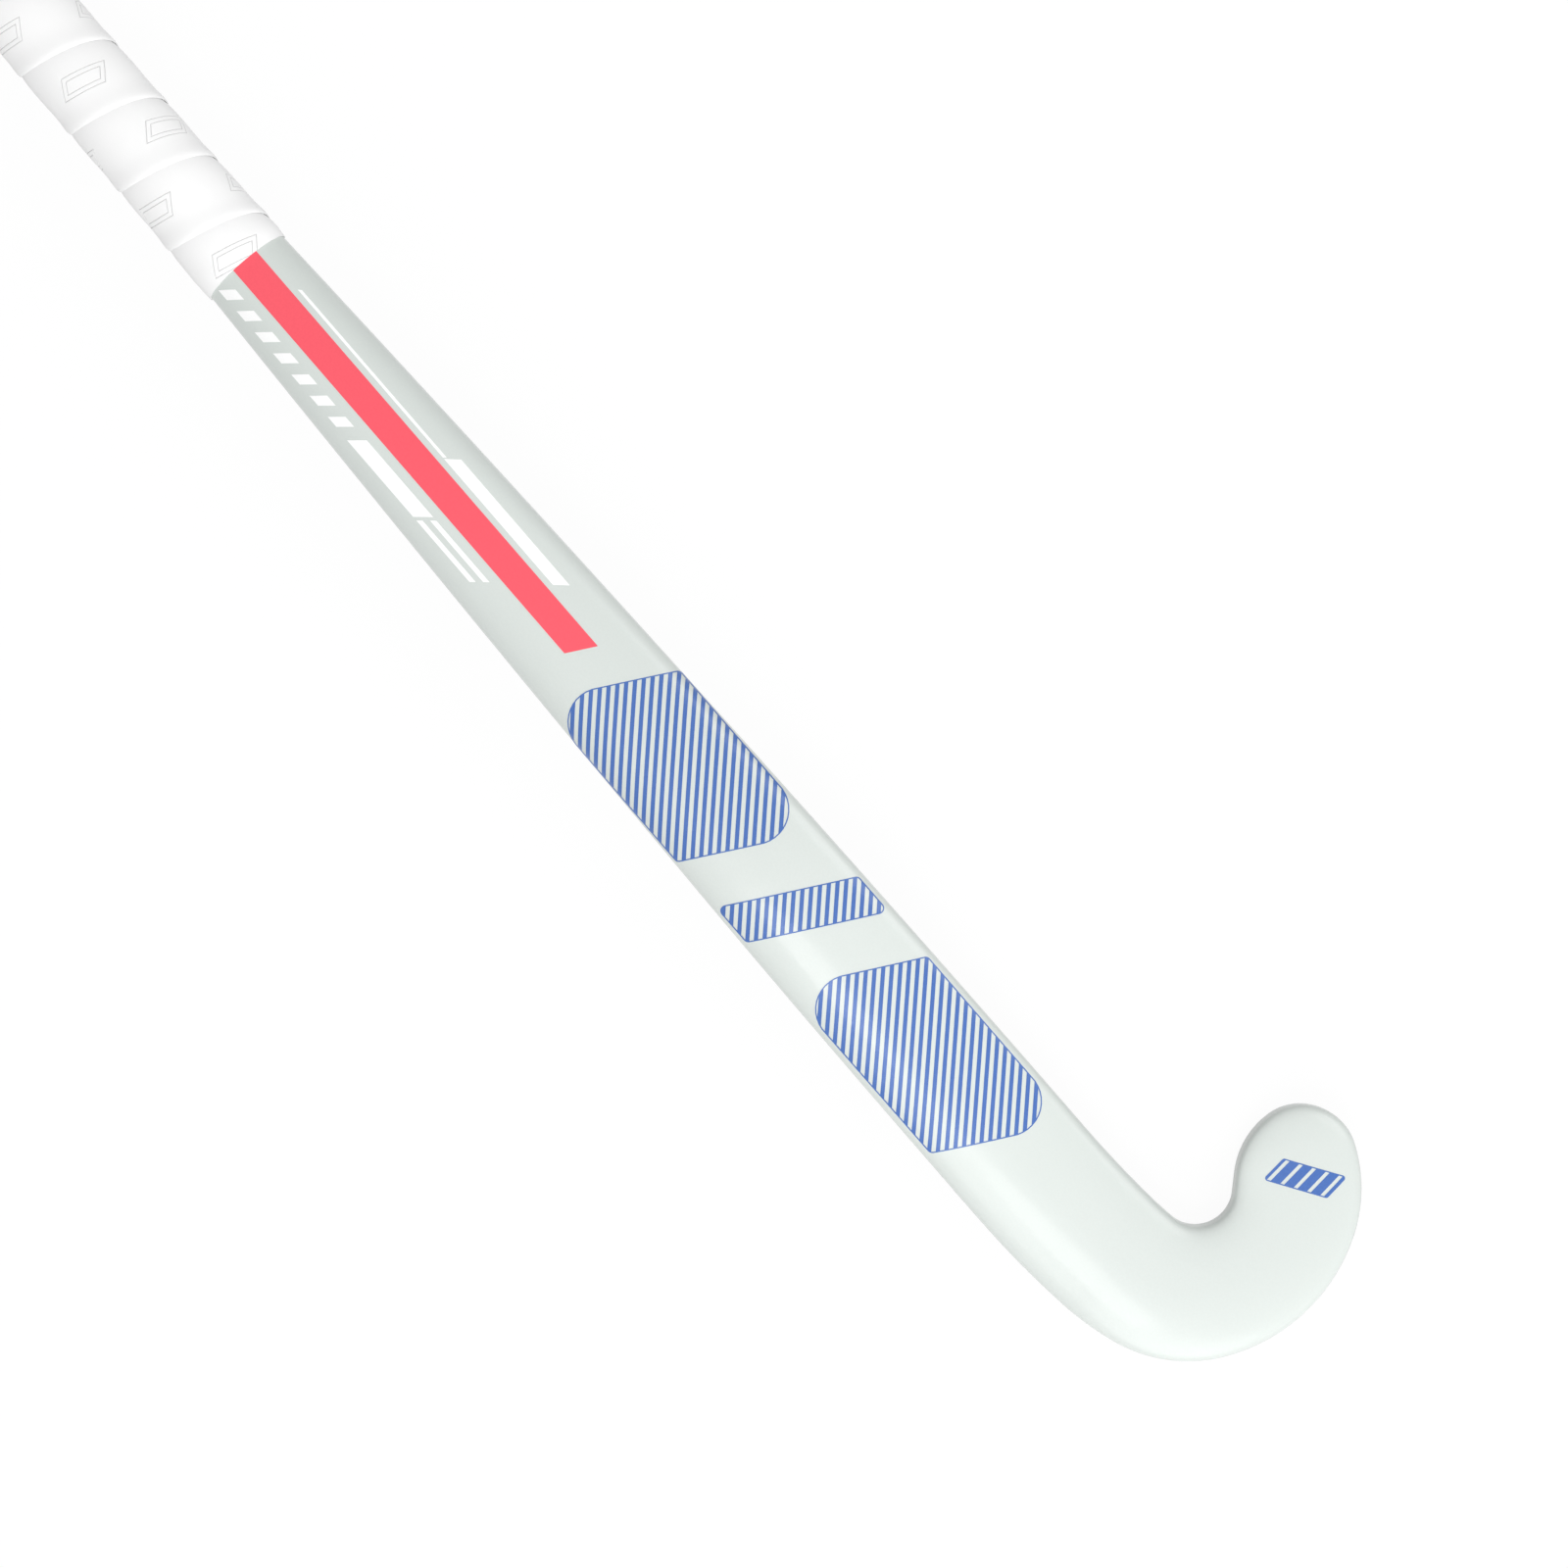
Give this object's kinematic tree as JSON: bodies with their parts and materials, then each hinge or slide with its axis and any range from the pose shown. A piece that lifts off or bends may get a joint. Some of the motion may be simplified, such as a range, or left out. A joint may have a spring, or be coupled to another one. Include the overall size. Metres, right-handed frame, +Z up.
{
  "type": "indoor field hockey stick",
  "caption": "White composite indoor hockey stick with a wound cushion grip, a hooked head, a red stripe, white bars and blue patterned panels on its rounded back.",
  "frame": {"origin": "middle of the stick's box on the ground, with the stick lying on its flat playing face", "axes": "+X from the butt to the base of the head, +Y towards the toe, +Z up, out of the rounded back"},
  "size_m": [0.927, 0.1167, 0.0459],
  "materials": {
    "white_lacquer": "satin gloss lacquer over the fibre laminate, white with a hint of mint",
    "bare_laminate": "bare fibre laminate, satin",
    "light_foam": "light foam, dull",
    "dense_core": "dense filled core, dull",
    "plug_plastic": "moulded, dull",
    "cap_rubber": "soft white rubber, dull",
    "grip_foam": "white cushioned strip, dull",
    "red_film": "printed film, satin gloss",
    "white_film": "printed film, satin gloss",
    "blue_film": "printed film, satin gloss"
  },
  "bodies": {
    "root": {"laminate_shell": "white_lacquer", "centre_web": "bare_laminate", "heel_side_core": "light_foam", "toe_side_core": "light_foam", "head_core": "dense_core", "handle_plug": "plug_plastic", "butt_cap": "cap_rubber", "grip_wrap": "grip_foam", "red_stripe": "red_film", "white_block_1": "white_film", "white_block_2": "white_film", "white_block_3": "white_film", "white_block_4": "white_film", "white_block_5": "white_film", "white_block_6": "white_film", "white_block_7": "white_film", "white_heel_bar": "white_film", "white_thin_bar_1": "white_film", "white_thin_bar_2": "white_film", "white_toe_line": "white_film", "white_toe_bar": "white_film", "upper_panel": "blue_film", "middle_panel": "blue_film", "lower_panel": "blue_film", "toe_mark": "blue_film"}
  },
  "joints": []
}
